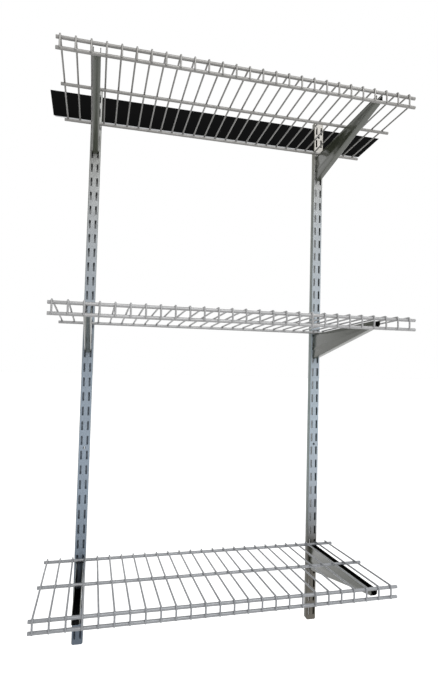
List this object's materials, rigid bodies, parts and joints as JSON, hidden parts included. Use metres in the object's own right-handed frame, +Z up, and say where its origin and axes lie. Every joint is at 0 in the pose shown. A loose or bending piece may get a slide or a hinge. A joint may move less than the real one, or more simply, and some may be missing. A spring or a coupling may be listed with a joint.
{
  "type": "wall shelving unit",
  "caption": "Wall-hung shelving: a hang rail carries slotted uprights, and hooked channel brackets hold wire decks that lift off and move to other slots.",
  "frame": {"origin": "on the back of the hang rail, at half its height, midway between the uprights; the wall is the plane y = 0", "axes": "+Z up, +Y into the wall, the front looks towards -Y, +X to the right seen from the front"},
  "size_m": [0.8139, 0.3357, 1.2168],
  "materials": {
    "upright_left_grey": "satin grey, bluish",
    "upright_right_grey": "satin grey, slightly paler",
    "bracket_grey": "glossy dark grey, olive",
    "deck_wire": "satin grey coating",
    "rail_steel": "zinc plated",
    "cover_plastic": "black, bare",
    "screw_zinc": "zinc plated"
  },
  "bodies": {
    "frame": {"hang_rail": "rail_steel", "rail_cover": "cover_plastic", "rail_screw_1": "screw_zinc", "rail_screw_2": "screw_zinc", "rail_screw_3": "screw_zinc", "rail_screw_4": "screw_zinc", "upright_left": "upright_left_grey", "upright_right": "upright_right_grey"},
    "bracket_top_left": {"bracket_top_left": "bracket_grey"},
    "bracket_top_right": {"bracket_top_right": "bracket_grey"},
    "deck_top": {"deck_top": "deck_wire"},
    "bracket_middle_left": {"bracket_middle_left": "bracket_grey"},
    "bracket_middle_right": {"bracket_middle_right": "bracket_grey"},
    "deck_middle": {"deck_middle": "deck_wire"},
    "bracket_bottom_left": {"bracket_bottom_left": "bracket_grey"},
    "bracket_bottom_right": {"bracket_bottom_right": "bracket_grey"},
    "deck_bottom": {"deck_bottom": "deck_wire"}
  },
  "joints": [
    {"name": "bracket_top_left_unhook", "type": "slide", "parent": "frame", "child": "bracket_top_left", "axis": [0, 0, 1], "range_m": [0, 0.008]},
    {"name": "bracket_top_right_unhook", "type": "slide", "parent": "frame", "child": "bracket_top_right", "axis": [0, 0, 1], "range_m": [0, 0.008]},
    {"name": "deck_top_lift_off", "type": "slide", "parent": "bracket_top_left", "child": "deck_top", "axis": [0, 0, 1], "range_m": [0, 0.06]},
    {"name": "bracket_middle_left_unhook", "type": "slide", "parent": "frame", "child": "bracket_middle_left", "axis": [0, 0, 1], "range_m": [0, 0.008]},
    {"name": "bracket_middle_right_unhook", "type": "slide", "parent": "frame", "child": "bracket_middle_right", "axis": [0, 0, 1], "range_m": [0, 0.008]},
    {"name": "deck_middle_lift_off", "type": "slide", "parent": "bracket_middle_left", "child": "deck_middle", "axis": [0, 0, 1], "range_m": [0, 0.06]},
    {"name": "bracket_bottom_left_unhook", "type": "slide", "parent": "frame", "child": "bracket_bottom_left", "axis": [0, 0, 1], "range_m": [0, 0.008]},
    {"name": "bracket_bottom_right_unhook", "type": "slide", "parent": "frame", "child": "bracket_bottom_right", "axis": [0, 0, 1], "range_m": [0, 0.008]},
    {"name": "deck_bottom_lift_off", "type": "slide", "parent": "bracket_bottom_left", "child": "deck_bottom", "axis": [0, 0, 1], "range_m": [0, 0.06]}
  ],
  "couplings": [
    {"joint": "bracket_top_right_unhook", "follows": "bracket_top_left_unhook", "ratio": 1},
    {"joint": "bracket_middle_right_unhook", "follows": "bracket_middle_left_unhook", "ratio": 1},
    {"joint": "bracket_bottom_right_unhook", "follows": "bracket_bottom_left_unhook", "ratio": 1}
  ]
}
